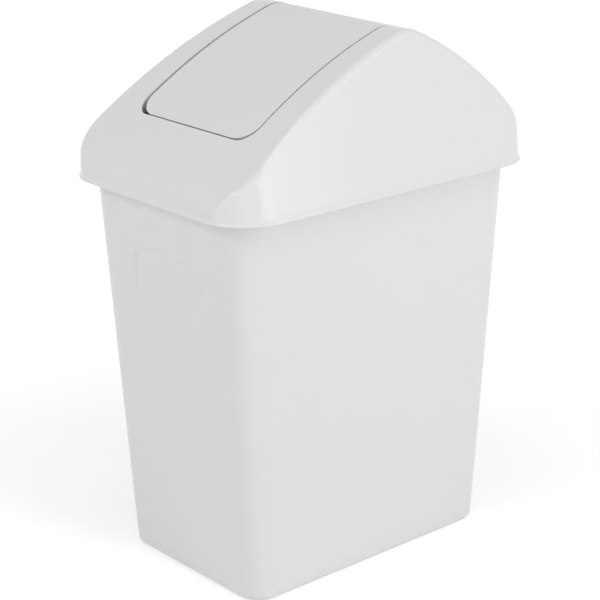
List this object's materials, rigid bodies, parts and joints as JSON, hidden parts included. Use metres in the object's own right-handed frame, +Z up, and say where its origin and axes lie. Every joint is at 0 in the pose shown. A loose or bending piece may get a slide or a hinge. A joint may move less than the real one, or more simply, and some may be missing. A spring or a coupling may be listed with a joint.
{
  "type": "swing lid waste bin",
  "caption": "Tapered rectangular waste bin with a lift-off arched hood and a free-swinging flap lid.",
  "frame": {"origin": "centre of the base, on the surface that the bin stands on", "axes": "+Z up; X across the narrow side, along the flap's hinge line; -Y is the front, the end that the hood slopes down to gently"},
  "size_m": [0.2652, 0.3712, 0.514],
  "materials": {
    "bin_plastic": "fine satin moulded, pale grey",
    "lid_plastic": "fine satin moulded, pale grey",
    "flap_plastic": "fine satin moulded, pale grey",
    "pin_plastic": "smooth moulded, pale grey"
  },
  "bodies": {
    "bin": {"bin_body": "bin_plastic"},
    "hood": {"lid_hood": "lid_plastic", "pivot_pin_left": "pin_plastic", "pivot_pin_right": "pin_plastic"},
    "flap": {"swing_flap": "flap_plastic"}
  },
  "joints": [
    {"name": "hood_lift", "type": "slide", "parent": "bin", "child": "hood", "axis": [0, 0, 1], "range_m": [0, 0.12]},
    {"name": "flap_swing", "type": "hinge", "parent": "hood", "child": "flap", "pos_m": [0, 0, 0.494], "axis": [1, 0, 0], "range_deg": [-90, 90]}
  ]
}
